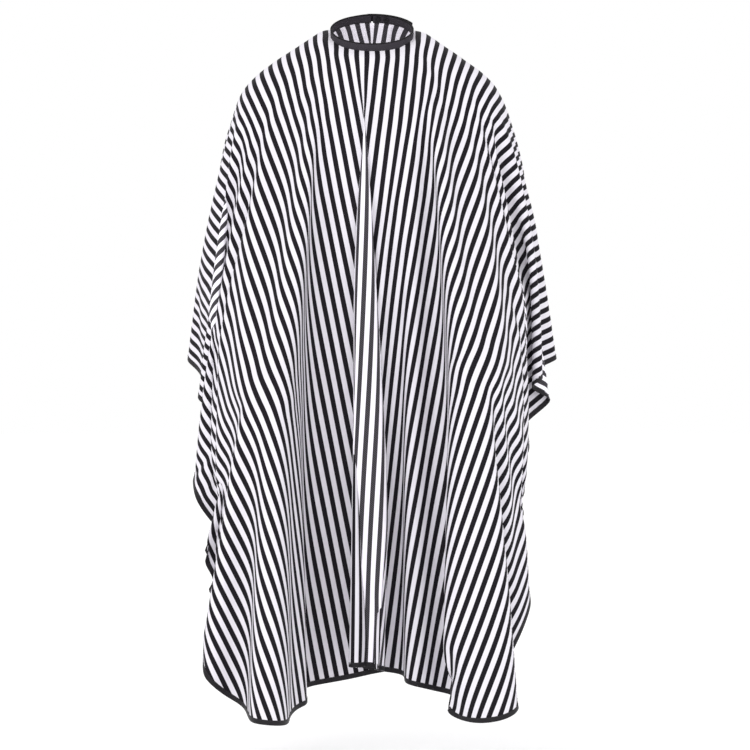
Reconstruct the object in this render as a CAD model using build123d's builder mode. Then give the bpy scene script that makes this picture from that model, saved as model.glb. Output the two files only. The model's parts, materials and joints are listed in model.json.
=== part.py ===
"""Barber cape: a striped cloth cape hanging from a snapped neckband.

The frame: origin at the centre of the neck opening, +Z up, the wearer facing -Y.
The neckband lies in a plane that tips forward, so its front is lower than its back.
Millimetres throughout.
"""

from build123d import *
from math import atan2, copysign, cos, degrees, hypot, pi, radians, sin
import os

# ---- driving dimensions ---------------------------------------------------------------

# neckband
NECK_RADIUS = 64.0          # inside of the closed neckband, a 40 cm neck
NECK_TILT = 21.0            # the band's plane, front lower than back, degrees
BAND_HEIGHT = 14.0
BAND_LEAF = 0.7             # one leaf of the folded band
BAND_CORE = 1.0             # interlining, and the cape's neck edge below it
NECK_SEAM = 4.0             # how far the cape's neck edge goes up into the band
SEAM_LAP = 0.6              # how far that upright edge runs down into the sloping cloth
SLIT_GAP = 3.0              # between the two ends of the band and of the slit

# closure tab, which laps over the band at the back of the neck
TAB_LEAF = 0.6
TAB_CORE = 0.8
TAB_HEIGHT = 13.0
TAB_STAND_OFF = 2.8         # the closed snaps hold the tab this far off the band
TAB_HINGE_ARC = 6.0         # the fold line, past the slit on the wearer's left
TAB_FOLD_CLEARANCE = 0.6
TAB_ROOT_ARC = 22.0         # length of the tab's sewn-down end
TAB_ROOT_EDGE = 0.6         # its thickness where it runs out
TAB_END_MARGIN = 8.0        # cloth past the last snap

# snaps
SNAP_COUNT = 5
STUD_COUNT = 2
SNAP_PITCH = 14.5
FIRST_SNAP = 10.0           # from the slit to the first snap, along the band
CAP_RADIUS = 5.35
CAP_HEIGHT = 1.1
CAP_FILLET = 0.7
SHANK_RADIUS = 0.9
SHANK_CLEARANCE = 0.1
SOCKET_RADIUS = 4.4
SOCKET_FLOOR = 0.5
STUD_PLATE = 0.5
STUD_RADIUS = 1.9
STUD_SIDE_CLEARANCE = 0.7   # lets the socket swing off the stud
STUD_TIP_CLEARANCE = 0.3
SOCKET_LIP = 0.2
STUD_ROUND = 0.6
SOCKET_FACE_CLEARANCE = 0.3  # between a socket's mouth and the stud's plate

# cloth
CLOTH = 1.2
BINDING_WIDTH = 8.0
BINDING_PROUD = 0.5         # the binding stands this far off each face of the cloth
SLIT_LENGTH = 150.0         # back slit, down from the neckband

# the hanging cape: across the elbows, before and behind the neck, and down to its low corners
DRAPE_WIDTH = 600.0
DRAPE_FRONT = 340.0
DRAPE_BACK = 180.0
DRAPE_DROP = 1114.0
FRONT_HEM_RISE = 84.0       # middle of the front hem above the low front corners
FRONT_CORNER_IN = 95.0      # the lowest point of a front corner, in from the side
ELBOW_EDGE_DROP = 510.0     # top of the side edge, behind the elbow
ELBOW_EDGE_BACK = 60.0      # that point is this far behind the neck
SIDE_EDGE_FOOT = 185.0      # foot of the side edge, this far before the neck
SIDE_EDGE_KNEE = 85.0       # where the side edge turns up towards the elbow
BACK_HEM_DROP = 385.0
BACK_CORNER_DROP = 655.0
BACK_CORNER_OUT = 165.0
BACK_EDGE_OUT = 240.0       # half the width between the tops of the side edges
SIDE_KNEE_SHARE = 0.8       # how far up the side edge its turn is, of the way to the elbow
BEYOND_FOOT = 1.15          # cutting shapes reach this far past the lowest point,
BEYOND_SIDE = 0.6           # this far out, of the whole width,
BEYOND_FRONT = 2.0          # and this far before and behind, of the front's reach

# form of the hanging cape: drop, half width, front and back reach, as shares of the sizes above
DRAPE_FORM = (
    (0.045, 0.585, 0.235, 0.555),
    (0.100, 0.720, 0.300, 0.680),
    (0.180, 0.835, 0.385, 0.830),
    (0.295, 0.930, 0.520, 1.000),
    (0.400, 1.000, 0.640, 0.950),
    (0.510, 0.950, 0.770, 0.850),
    (0.640, 0.910, 0.850, 0.700),
    (0.800, 0.880, 0.930, 0.620),
    (1.050, 0.850, 1.010, 0.560),
)
STEPS_PER_LEVEL = 2
SECTION_SIDES = 36
SECTION_FULLNESS = 0.92     # of a level section; 1 is an ellipse, less is fuller

# ---- places worked out from the sizes --------------------------------------------------

NECK_PLANE = Plane(
    origin=(0, 0, 0),
    x_dir=(1, 0, 0),
    z_dir=(0, -sin(radians(NECK_TILT)), cos(radians(NECK_TILT))),
)
CORE_IN = NECK_RADIUS + BAND_LEAF
CORE_OUT = CORE_IN + BAND_CORE
BAND_OUT = CORE_OUT + BAND_LEAF
BAND_TOP = BAND_HEIGHT / 2
BAND_FOOT = -BAND_HEIGHT / 2
SEAM_TOP = BAND_FOOT + NECK_SEAM

TAB_IN = BAND_OUT + TAB_STAND_OFF
TAB_CORE_IN = TAB_IN + TAB_LEAF
TAB_CORE_OUT = TAB_CORE_IN + TAB_CORE
TAB_OUT = TAB_CORE_OUT + TAB_LEAF
TAB_TOP = TAB_HEIGHT / 2
HALF_TAB = (TAB_OUT - TAB_IN) / 2
HINGE_RADIUS = TAB_IN + HALF_TAB
SHANK_HOLE = SHANK_RADIUS + SHANK_CLEARANCE

SOCKET_MOUTH = BAND_OUT + STUD_PLATE + SOCKET_FACE_CLEARANCE
SOCKET_BORE = STUD_RADIUS + STUD_SIDE_CLEARANCE
SOCKET_BOTTOM = TAB_IN - SOCKET_FLOOR
STUD_TIP = SOCKET_BOTTOM - STUD_TIP_CLEARANCE
SNAP_TOP = TAB_OUT + CAP_HEIGHT


def band_angle(arc):
    """Angle round the band, in degrees, of a length measured on its outside."""
    return degrees(arc / BAND_OUT)


HINGE_ANGLE = -band_angle(TAB_HINGE_ARC)
SNAP_ANGLES = [band_angle(FIRST_SNAP + SNAP_PITCH * n) for n in range(SNAP_COUNT)]
STUD_ANGLES = SNAP_ANGLES[:STUD_COUNT]
TAB_END_ANGLE = SNAP_ANGLES[-1] + band_angle(TAB_END_MARGIN)
TAB_CORE_END_ANGLE = TAB_END_ANGLE - band_angle(TAB_LEAF)
ROOT_NEAR_ANGLE = HINGE_ANGLE - degrees((HALF_TAB + TAB_FOLD_CLEARANCE) / HINGE_RADIUS)
ROOT_FAR_ANGLE = ROOT_NEAR_ANGLE - band_angle(TAB_ROOT_ARC)
SLIT_HALF_ANGLE = band_angle(SLIT_GAP / 2)


def on_band(radius, angle):
    """A point in the band's plane, its angle counted from the back towards +X."""
    return (radius * sin(radians(angle)), radius * cos(radians(angle)))


def radial_plane(angle):
    """The plane through the middle of the neck that faces out of the band at this angle."""
    x, y = on_band(1, angle)
    outward = NECK_PLANE.from_local_coords(Vector(x, y, 0))
    return Plane(origin=(0, 0, 0), x_dir=NECK_PLANE.z_dir, z_dir=outward)


# ---- shapes that several pieces share --------------------------------------------------

def ring(inner, outer, foot, top, start=SLIT_HALF_ANGLE, end=360 - SLIT_HALF_ANGLE):
    """A stretch of an upright ring round the neck; by default all of it but the slit."""
    middle = (start + end) / 2
    with BuildPart() as stretch:
        with BuildSketch(NECK_PLANE.offset(foot)):
            with BuildLine():
                ThreePointArc(on_band(outer, start), on_band(outer, middle), on_band(outer, end))
                Line(on_band(outer, end), on_band(inner, end))
                ThreePointArc(on_band(inner, end), on_band(inner, middle), on_band(inner, start))
                Line(on_band(inner, start), on_band(outer, start))
            make_face()
        extrude(amount=top - foot)
    return stretch.part


def disc(angle, radius, inner, outer):
    """A round peg along a snap's axis, between two distances from the middle of the neck."""
    with BuildPart() as peg:
        with BuildSketch(radial_plane(angle).offset(inner)):
            Circle(radius)
        extrude(amount=outer - inner)
    return peg.part


def smooth_between(before, low, high, after, share):
    """Catmull-Rom value between low and high, from their neighbours."""
    return 0.5 * (
        2 * low
        + (high - before) * share
        + (2 * before - 5 * low + 4 * high - after) * share**2
        + (3 * low - before - 3 * high + after) * share**3
    )


def form_levels():
    """The levels of the hanging form in millimetres, each step of the form divided smoothly."""
    sizes = (DRAPE_DROP, DRAPE_WIDTH / 2, DRAPE_FRONT, DRAPE_BACK)
    last = len(DRAPE_FORM) - 1
    levels = []
    for index in range(last):
        rows = [DRAPE_FORM[min(max(index + step, 0), last)] for step in (-1, 0, 1, 2)]
        for part_step in range(STEPS_PER_LEVEL):
            share = part_step / STEPS_PER_LEVEL
            levels.append([size * smooth_between(*column, share) for size, column in zip(sizes, zip(*rows))])
    levels.append([size * value for size, value in zip(sizes, DRAPE_FORM[last])])
    return levels


def set_in(levels, index, inset):
    """A level moved inwards square to the slope of the form there."""
    drop, half, front, back = levels[index]
    above = levels[max(index - 1, 0)]
    below = levels[min(index + 1, len(levels) - 1)]
    slope = atan2(below[0] - above[0], below[1] - above[1])
    return (
        drop + inset * cos(slope),
        half - inset * sin(slope),
        front - inset * sin(slope),
        back - inset * sin(slope),
    )


def form_point(turn, half, front, back, fullness):
    """A point of a level section: an ellipse at fullness 1, and fuller below it."""
    across = copysign(abs(cos(turn)) ** fullness, cos(turn))
    along = copysign(abs(sin(turn)) ** fullness, sin(turn))
    return (half * across, (back - front) / 2 + (back + front) / 2 * along)


def closed_section(plane, half, front, back, fullness=SECTION_FULLNESS):
    """A level section as a many-sided figure, even to left and right."""
    turns = [2 * pi * (side + 0.5) / SECTION_SIDES for side in range(SECTION_SIDES)]
    with BuildSketch(plane) as section:
        with BuildLine():
            Polyline(*[form_point(turn, half, front, back, fullness) for turn in turns], close=True)
        make_face()
    return section.sketch


def hanging_form(inset):
    """The solid that the cape's outer face encloses, set in by inset, from the neckband down."""
    neck = CORE_OUT - inset * BAND_CORE / CLOTH
    levels = form_levels()
    sections = [closed_section(NECK_PLANE.offset(BAND_FOOT), neck, neck, neck, fullness=1)]
    for index in range(len(levels)):
        drop, half, front, back = set_in(levels, index, inset)
        sections.append(closed_section(Plane.XY.offset(-drop), half, front, back))
    with BuildPart() as form:
        loft(sections, ruled=True)
    return form.part


def edge_line(points, first, last, margin):
    """Draw a smooth cut edge through points, moved by margin into the cloth on its left."""
    moved = []
    for index, (across, up) in enumerate(points):
        before = points[max(index - 1, 0)]
        after = points[min(index + 1, len(points) - 1)]
        run = {0: first, len(points) - 1: last}.get(index, (after[0] - before[0], after[1] - before[1]))
        length = hypot(*run)
        moved.append((across - margin * run[1] / length, up + margin * run[0] / length))
    Spline(*moved)
    return moved


def below_edge(margin):
    """What lies outside the cape's cut edge, grown by margin to bare the binding's width."""
    floor = -BEYOND_FOOT * DRAPE_DROP
    wide = BEYOND_SIDE * DRAPE_WIDTH
    far = BEYOND_FRONT * DRAPE_FRONT
    level = (1, 0)
    upright = (0, 1)
    front_corner = DRAPE_WIDTH / 2 - FRONT_CORNER_IN
    front_end = -DRAPE_DROP + FRONT_HEM_RISE / 2
    knee = (-SIDE_EDGE_KNEE, -DRAPE_DROP + SIDE_KNEE_SHARE * (DRAPE_DROP - ELBOW_EDGE_DROP))
    shin = (-(SIDE_EDGE_FOOT + SIDE_EDGE_KNEE) / 2, -(DRAPE_DROP + ELBOW_EDGE_DROP) / 2)
    front_hem = [
        (-wide, front_end),
        (-front_corner, -DRAPE_DROP),
        (0, FRONT_HEM_RISE - DRAPE_DROP),
        (front_corner, -DRAPE_DROP),
        (wide, front_end),
    ]
    side_edge = [(-SIDE_EDGE_FOOT, floor), shin, knee, (ELBOW_EDGE_BACK, -ELBOW_EDGE_DROP)]
    back_hem = [
        (-BACK_EDGE_OUT, -ELBOW_EDGE_DROP),
        (-BACK_CORNER_OUT, -BACK_CORNER_DROP),
        (0, -BACK_HEM_DROP),
        (BACK_CORNER_OUT, -BACK_CORNER_DROP),
        (BACK_EDGE_OUT, -ELBOW_EDGE_DROP),
    ]
    with BuildPart() as outside:
        # the front hem, seen from the front: a low arch between two low corners
        with BuildSketch(Plane.XZ.offset(-far)):
            with BuildLine():
                moved = edge_line(front_hem, level, level, margin)
                Polyline(moved[-1], (wide, floor), (-wide, floor), moved[0])
            make_face()
        extrude(amount=2 * far)
        # the side edges, seen from the side, from the front corners up to the elbows
        with BuildSketch(Plane.YZ.offset(-wide)):
            with BuildLine():
                moved = edge_line(side_edge, upright, level, margin)
                Polyline(moved[-1], (ELBOW_EDGE_BACK, floor), moved[0])
            make_face()
        extrude(amount=2 * wide)
        # the back hem, seen from behind: a tall arch between two low corners
        with BuildSketch(Plane.XZ.offset(-far)):
            with BuildLine():
                moved = edge_line(back_hem, level, level, margin)
                Polyline(
                    moved[-1],
                    (wide, moved[-1][1]),
                    (wide, floor),
                    (-wide, floor),
                    (-wide, moved[0][1]),
                    moved[0],
                )
            make_face()
        extrude(amount=far - ELBOW_EDGE_BACK)
    return outside.part


def slit_block(near, far):
    """The upright block from one distance beside the slit's middle to another, down its length."""
    with BuildPart() as block:
        with BuildSketch(Plane.XZ):
            with Locations(((near + far) / 2, 0)):
                Rectangle(abs(far - near), 2 * SLIT_LENGTH)
        extrude(amount=-2 * DRAPE_BACK)
    return block.part


parts = []


def finish(builder, name):
    """Label a finished piece and keep it for writing."""
    builder.part.label = name
    parts.append(builder.part)


# ---- cape panel and its bindings -------------------------------------------------------

HALF_SLIT = SLIT_GAP / 2
SLIT_EDGE = HALF_SLIT + BINDING_WIDTH

with BuildPart() as cape_panel:
    add(hanging_form(0))
    add(hanging_form(CLOTH), mode=Mode.SUBTRACT)
    add(below_edge(BINDING_WIDTH), mode=Mode.SUBTRACT)
    add(slit_block(-SLIT_EDGE, SLIT_EDGE), mode=Mode.SUBTRACT)
    add(ring(CORE_IN, CORE_OUT, BAND_FOOT - SEAM_LAP, SEAM_TOP))
finish(cape_panel, "cape_panel")

with BuildPart() as binding_skin:
    add(hanging_form(-BINDING_PROUD))
    add(hanging_form(CLOTH + BINDING_PROUD), mode=Mode.SUBTRACT)

with BuildPart() as hem_binding:
    add(binding_skin.part)
    add(below_edge(BINDING_WIDTH), mode=Mode.INTERSECT)
    add(below_edge(0), mode=Mode.SUBTRACT)
finish(hem_binding, "hem_binding")

for side, near, far in (("left", HALF_SLIT, SLIT_EDGE), ("right", -SLIT_EDGE, -HALF_SLIT)):
    with BuildPart() as slit_binding:
        add(binding_skin.part)
        add(slit_block(near, far), mode=Mode.INTERSECT)
        add(ring(CORE_IN, CORE_OUT, BAND_FOOT - SEAM_LAP, BAND_FOOT), mode=Mode.SUBTRACT)
    finish(slit_binding, f"slit_binding_{side}")

# ---- neckband: a folded strip, open below, over its interlining and the cape's neck edge ----

with BuildPart() as neckband:
    add(ring(NECK_RADIUS, BAND_OUT, BAND_FOOT, BAND_TOP))
    add(ring(CORE_IN, CORE_OUT, BAND_FOOT, BAND_TOP - BAND_LEAF), mode=Mode.SUBTRACT)
    for angle in STUD_ANGLES:
        add(disc(angle, CAP_RADIUS, 0, CORE_IN), mode=Mode.SUBTRACT)
        add(disc(angle, SHANK_HOLE, CORE_IN, SNAP_TOP), mode=Mode.SUBTRACT)
finish(neckband, "neckband")

with BuildPart() as neckband_interlining:
    add(ring(CORE_IN, CORE_OUT, SEAM_TOP, BAND_TOP - BAND_LEAF))
    for angle in STUD_ANGLES:
        add(disc(angle, SHANK_HOLE, 0, SNAP_TOP), mode=Mode.SUBTRACT)
finish(neckband_interlining, "neckband_interlining")

# ---- closure tab: folds at its root, laps over the band's other end ---------------------

with BuildPart() as tab_root:
    # the tab's sewn-down end, doubled at the fold and running out to one thickness
    with BuildSketch(NECK_PLANE.offset(-TAB_TOP)):
        with BuildLine():
            Line(on_band(BAND_OUT, ROOT_NEAR_ANGLE), on_band(HINGE_RADIUS, ROOT_NEAR_ANGLE))
            ThreePointArc(
                on_band(HINGE_RADIUS, ROOT_NEAR_ANGLE),
                on_band((HINGE_RADIUS + BAND_OUT + TAB_ROOT_EDGE) / 2, (ROOT_NEAR_ANGLE + ROOT_FAR_ANGLE) / 2),
                on_band(BAND_OUT + TAB_ROOT_EDGE, ROOT_FAR_ANGLE),
            )
            Line(on_band(BAND_OUT + TAB_ROOT_EDGE, ROOT_FAR_ANGLE), on_band(BAND_OUT, ROOT_FAR_ANGLE))
            ThreePointArc(
                on_band(BAND_OUT, ROOT_FAR_ANGLE),
                on_band(BAND_OUT, (ROOT_NEAR_ANGLE + ROOT_FAR_ANGLE) / 2),
                on_band(BAND_OUT, ROOT_NEAR_ANGLE),
            )
        make_face()
    extrude(amount=TAB_HEIGHT)
finish(tab_root, "tab_root")

with BuildPart() as closure_tab:
    add(ring(TAB_IN, TAB_OUT, -TAB_TOP, TAB_TOP, HINGE_ANGLE, TAB_END_ANGLE))
    with BuildSketch(NECK_PLANE.offset(-TAB_TOP)):
        with Locations(on_band(HINGE_RADIUS, HINGE_ANGLE)):
            Circle(HALF_TAB)
    extrude(amount=TAB_HEIGHT)
    add(
        ring(TAB_CORE_IN, TAB_CORE_OUT, TAB_LEAF - TAB_TOP, TAB_TOP - TAB_LEAF, HINGE_ANGLE, TAB_CORE_END_ANGLE),
        mode=Mode.SUBTRACT,
    )
    for angle in SNAP_ANGLES:
        add(disc(angle, SHANK_HOLE, 0, SNAP_TOP), mode=Mode.SUBTRACT)
finish(closure_tab, "closure_tab")

with BuildPart() as tab_interlining:
    add(ring(TAB_CORE_IN, TAB_CORE_OUT, TAB_LEAF - TAB_TOP, TAB_TOP - TAB_LEAF, HINGE_ANGLE, TAB_CORE_END_ANGLE))
    for angle in SNAP_ANGLES:
        add(disc(angle, SHANK_HOLE, 0, SNAP_TOP), mode=Mode.SUBTRACT)
finish(tab_interlining, "tab_interlining")

# ---- snaps: on the tab a cap and a socket each, on the band a backing cap and a stud ----

for number, angle in enumerate(SNAP_ANGLES, 1):
    with BuildPart() as snap_cap:
        add(disc(angle, CAP_RADIUS, TAB_IN, SNAP_TOP))
        fillet(snap_cap.edges().sort_by(Axis((0, 0, 0), radial_plane(angle).z_dir))[-1], CAP_FILLET)
        add(ring(NECK_RADIUS, TAB_OUT, BAND_FOOT, BAND_TOP, HINGE_ANGLE, TAB_END_ANGLE), mode=Mode.SUBTRACT)
        add(disc(angle, SHANK_RADIUS, SOCKET_BOTTOM, TAB_OUT + CAP_HEIGHT / 2))
    finish(snap_cap, f"snap_cap_{number}")

    with BuildPart() as snap_socket:
        add(disc(angle, SOCKET_RADIUS, SOCKET_MOUTH, TAB_IN))
        add(disc(angle, SOCKET_BORE, SOCKET_MOUTH, SOCKET_BOTTOM), mode=Mode.SUBTRACT)
        add(disc(angle, SHANK_RADIUS, SOCKET_BOTTOM, SNAP_TOP), mode=Mode.SUBTRACT)
        add(ring(TAB_IN, TAB_OUT, BAND_FOOT, BAND_TOP, HINGE_ANGLE, TAB_END_ANGLE), mode=Mode.SUBTRACT)
        fillet(snap_socket.edges().sort_by(Axis((0, 0, 0), radial_plane(angle).z_dir))[:2], SOCKET_LIP)
    finish(snap_socket, f"snap_socket_{number}")

for number, angle in enumerate(STUD_ANGLES, 1):
    with BuildPart() as stud_cap:
        add(disc(angle, CAP_RADIUS, 0, CORE_IN))
        add(ring(NECK_RADIUS, CORE_IN, BAND_FOOT, BAND_TOP), mode=Mode.INTERSECT)
        add(disc(angle, SHANK_RADIUS, NECK_RADIUS + BAND_LEAF / 2, BAND_OUT))
    finish(stud_cap, f"stud_cap_{number}")

    with BuildPart() as snap_stud:
        add(disc(angle, SOCKET_RADIUS, CORE_OUT, BAND_OUT + STUD_PLATE))
        add(ring(NECK_RADIUS, BAND_OUT, BAND_FOOT, BAND_TOP, HINGE_ANGLE, TAB_END_ANGLE), mode=Mode.SUBTRACT)
        add(disc(angle, STUD_RADIUS, BAND_OUT, STUD_TIP))
        fillet(snap_stud.edges().sort_by(Axis((0, 0, 0), radial_plane(angle).z_dir))[-1], STUD_ROUND)
    finish(snap_stud, f"snap_stud_{number}")

# ---- write the pieces -------------------------------------------------------------------

os.makedirs("parts", exist_ok=True)
for part in parts:
    export_step(part, f"parts/{part.label}.step")
    print(part.label, len(part.solids()), "solids,", round(part.volume), "cubic millimetres")
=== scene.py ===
"""Barber cape: striped cloth draped from a snapped neckband, with taped edges.

The cloth is cut flat, hung by its neck edge over a temporary dress form, and left to
settle with Blender's Cloth. The tapes, the neckband, the closure tab and the sewing
thread are then built round it. Metres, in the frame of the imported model: the origin is
the centre of the neck opening, +Z is up and the wearer faces -Y.
"""

from __future__ import annotations

import json
import logging
import math
from dataclasses import dataclass, field
from enum import Enum

import bmesh
import bpy
import numpy as np
from mathutils import Matrix, Vector
from mathutils.bvhtree import BVHTree

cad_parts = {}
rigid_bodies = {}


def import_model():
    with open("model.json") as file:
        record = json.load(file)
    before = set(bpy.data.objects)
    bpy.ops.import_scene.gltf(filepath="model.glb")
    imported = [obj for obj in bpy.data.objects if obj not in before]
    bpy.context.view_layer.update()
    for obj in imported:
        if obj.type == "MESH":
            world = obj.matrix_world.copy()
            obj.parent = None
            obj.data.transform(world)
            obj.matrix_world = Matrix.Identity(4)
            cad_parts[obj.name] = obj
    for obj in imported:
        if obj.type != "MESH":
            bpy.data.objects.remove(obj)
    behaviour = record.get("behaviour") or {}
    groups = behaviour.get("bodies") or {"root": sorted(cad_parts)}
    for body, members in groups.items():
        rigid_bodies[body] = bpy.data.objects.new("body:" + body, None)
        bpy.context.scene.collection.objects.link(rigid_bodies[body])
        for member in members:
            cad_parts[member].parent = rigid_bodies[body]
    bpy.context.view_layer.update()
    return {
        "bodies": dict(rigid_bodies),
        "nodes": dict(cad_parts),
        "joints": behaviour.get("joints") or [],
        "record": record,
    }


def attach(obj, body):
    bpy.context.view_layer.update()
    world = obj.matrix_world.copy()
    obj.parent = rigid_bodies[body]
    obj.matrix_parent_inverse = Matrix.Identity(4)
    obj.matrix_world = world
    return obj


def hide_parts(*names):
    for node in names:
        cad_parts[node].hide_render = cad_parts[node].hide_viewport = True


LOG = logging.getLogger("barber_cape")
MM = 0.001
NECK_TILT = math.radians(21.0)
BAND_HALF_HEIGHT = 7.0  # millimetres
WAVE_PERIOD = math.pi / 10  # of Blender's wave texture at a scale of 1


class Body(Enum):
    """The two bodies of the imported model."""

    CAPE = "cape"
    TAB = "closure_tab"


class Slot(Enum):
    """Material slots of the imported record."""

    CLOTH = "striped_cloth"
    TAPE = "binding_tape"
    BAND = "neckband_cloth"
    INTERLINING = "interlining"
    METAL = "snap_metal"
    ENAMEL = "snap_enamel"


class ClothSide(Enum):
    """The two sides of the cape's cloth."""

    FACE = "face"
    REVERSE = "reverse"


# ---- small helpers ----------------------------------------------------------------------


def hex_colour(code: str) -> tuple[float, float, float, float]:
    """Turn an sRGB hex code into a linear colour.

    Args:
        code: seven characters, such as "#1A2B3C".

    Returns:
        Linear red, green, blue, and an alpha of 1.
    """
    shares = [int(code[place:place + 2], 16) / 255 for place in (1, 3, 5)]
    linear = [s / 12.92 if s <= 0.04045 else ((s + 0.055) / 1.055) ** 2.4 for s in shares]
    return (linear[0], linear[1], linear[2], 1.0)


def add_node(tree: bpy.types.NodeTree, kind: str, inputs: dict | None = None, **settings) -> bpy.types.Node:
    """Add a node with its settings, values and links.

    Args:
        tree: the node tree.
        kind: the node's type name.
        inputs: a value, or a socket to link, for each named or numbered input.
        settings: properties of the node.

    Returns:
        The new node.
    """
    node = tree.nodes.new(kind)
    for name, value in settings.items():
        setattr(node, name, value)
    for key, value in (inputs or {}).items():
        if isinstance(value, bpy.types.NodeSocket):
            tree.links.new(value, node.inputs[key])
        else:
            node.inputs[key].default_value = value
    return node


def neck_point(radius: float, angle: float, height: float) -> Vector:
    """A point of the tilted neckband.

    Args:
        radius: distance from the neck's axis, metres.
        angle: degrees from the back of the neck towards +X.
        height: along the neck's axis, metres.

    Returns:
        The point in the model's frame.
    """
    turn = math.radians(angle)
    across, back = radius * math.sin(turn), radius * math.cos(turn)
    return Vector((
        across,
        back * math.cos(NECK_TILT) - height * math.sin(NECK_TILT),
        back * math.sin(NECK_TILT) + height * math.cos(NECK_TILT),
    ))


def new_object(name: str, mesh: bpy.types.Mesh) -> bpy.types.Object:
    """Link a mesh as an object that sits at the origin, smooth all over."""
    mesh.polygons.foreach_set("use_smooth", [True] * len(mesh.polygons))
    obj = bpy.data.objects.new(name, mesh)
    bpy.context.scene.collection.objects.link(obj)
    return obj


def apply_modifier(obj: bpy.types.Object, kind: str, **settings) -> None:
    """Give an object one modifier and apply it.

    Args:
        obj: the object.
        kind: the modifier's type name.
        settings: properties of the modifier.
    """
    modifier = obj.modifiers.new(kind.lower(), kind)
    for name, value in settings.items():
        setattr(modifier, name, value)
    bpy.ops.object.select_all(action="DESELECT")
    obj.select_set(True)
    bpy.context.view_layer.objects.active = obj
    bpy.ops.object.modifier_apply(modifier=modifier.name)


def swept(name: str, sections: list[list[Vector]], runs: list[float], closed: bool) -> bpy.types.Object:
    """Join a row of closed sections into one skin, with a UV map in metres.

    Args:
        name: the piece's name.
        sections: the same number of points in each, in order round the section.
        runs: each section's distance along the piece.
        closed: whether the last section joins the first; if not, both ends are capped.

    Returns:
        The new object, its faces pointing outwards. The UV map "run" holds the distance
        along the piece and the distance round its section.
    """
    count, sides = len(sections), len(sections[0])
    girth = [0.0]
    for one, two in zip(sections[0], sections[0][1:] + sections[0][:1]):
        girth.append(girth[-1] + (two - one).length)
    shell = bmesh.new()
    rows = [[shell.verts.new(point) for point in section] for section in sections]
    layer = shell.loops.layers.uv.new("run")
    step = runs[-1] - runs[-2]
    for index in range(count if closed else count - 1):
        after = (index + 1) % count
        ends = (runs[index], runs[after] if after else runs[index] + step)
        for side in range(sides):
            turn = (side + 1) % sides
            near, far = rows[index], rows[after]
            face = shell.faces.new((near[side], far[side], far[turn], near[turn]))
            places = ((0, side), (1, side), (1, side + 1), (0, side + 1))
            for loop, (end, round_) in zip(face.loops, places):
                loop[layer].uv = (ends[end], girth[round_])
    if not closed:
        for index in (0, -1):
            cap = shell.faces.new(rows[index])
            for loop in cap.loops:
                loop[layer].uv = (runs[index], 0.0)
    bmesh.ops.recalc_face_normals(shell, faces=shell.faces)
    mesh = bpy.data.meshes.new(name)
    shell.to_mesh(mesh)
    shell.free()
    return new_object(name, mesh)


# ---- finishes ---------------------------------------------------------------------------


@dataclass(frozen=True)
class Finish:
    """What every finish shares: a name, a roughness and a sheen."""

    name: str
    roughness: float = 0.6
    sheen: float = 0.0
    sheen_roughness: float = 0.4
    specular: float = 0.5
    rib_stray: float = 0.6  # how far woven ribs stray from dead straight

    def start(self) -> tuple[bpy.types.Material, bpy.types.NodeTree, bpy.types.Node]:
        """Make the material with its constants on the shader's own sockets."""
        material = bpy.data.materials.new(self.name)
        material.use_nodes = True
        tree = material.node_tree
        shader = tree.nodes["Principled BSDF"]
        shader.inputs["Roughness"].default_value = self.roughness
        shader.inputs["Specular IOR Level"].default_value = self.specular
        shader.inputs["Sheen Weight"].default_value = self.sheen
        shader.inputs["Sheen Roughness"].default_value = self.sheen_roughness
        return material, tree, shader

    def mixed(self, tree: bpy.types.NodeTree, share, low, high) -> bpy.types.NodeSocket:
        """Mix two colours or colour sockets by a share and give the result's socket."""
        node = add_node(tree, "ShaderNodeMix", {0: share, 6: low, 7: high}, data_type="RGBA")
        return node.outputs[2]

    def tint(self, tree: bpy.types.NodeTree, shader: bpy.types.Node, share, low: str, high: str) -> None:
        """Colour the surface between two hex codes by a share."""
        colour = self.mixed(tree, share, hex_colour(low), hex_colour(high))
        tree.links.new(colour, shader.inputs["Base Color"])

    def speckle(self, tree: bpy.types.NodeTree, size: float, detail: float = 2.0) -> bpy.types.NodeSocket:
        """An uneven grain all over the piece, its size in metres."""
        place = add_node(tree, "ShaderNodeTexCoord").outputs["Object"]
        inputs = {"Vector": place, "Scale": 1 / size, "Detail": detail}
        return add_node(tree, "ShaderNodeTexNoise", inputs).outputs["Fac"]

    def ribs(
        self, tree: bpy.types.NodeTree, vector: bpy.types.NodeSocket, pitch: float, turn: float
    ) -> bpy.types.NodeSocket:
        """Even ribs at a pitch in metres, their direction turned by degrees."""
        turned = {"Vector": vector, "Rotation": (0, 0, math.radians(turn))}
        mapping = add_node(tree, "ShaderNodeMapping", turned)
        inputs = {"Vector": mapping.outputs[0], "Scale": WAVE_PERIOD / pitch}
        strayed = {"Distortion": self.rib_stray, "Detail": 1.0, "Detail Scale": 2.0}
        return add_node(tree, "ShaderNodeTexWave", inputs | strayed).outputs["Fac"]

    def bump(self, tree: bpy.types.NodeTree, shader: bpy.types.Node, height, depth: float) -> None:
        """Raise the surface by a height pattern, depth in metres."""
        node = add_node(tree, "ShaderNodeBump", {"Height": height, "Distance": depth, "Strength": 1.0})
        tree.links.new(node.outputs[0], shader.inputs["Normal"])


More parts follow.
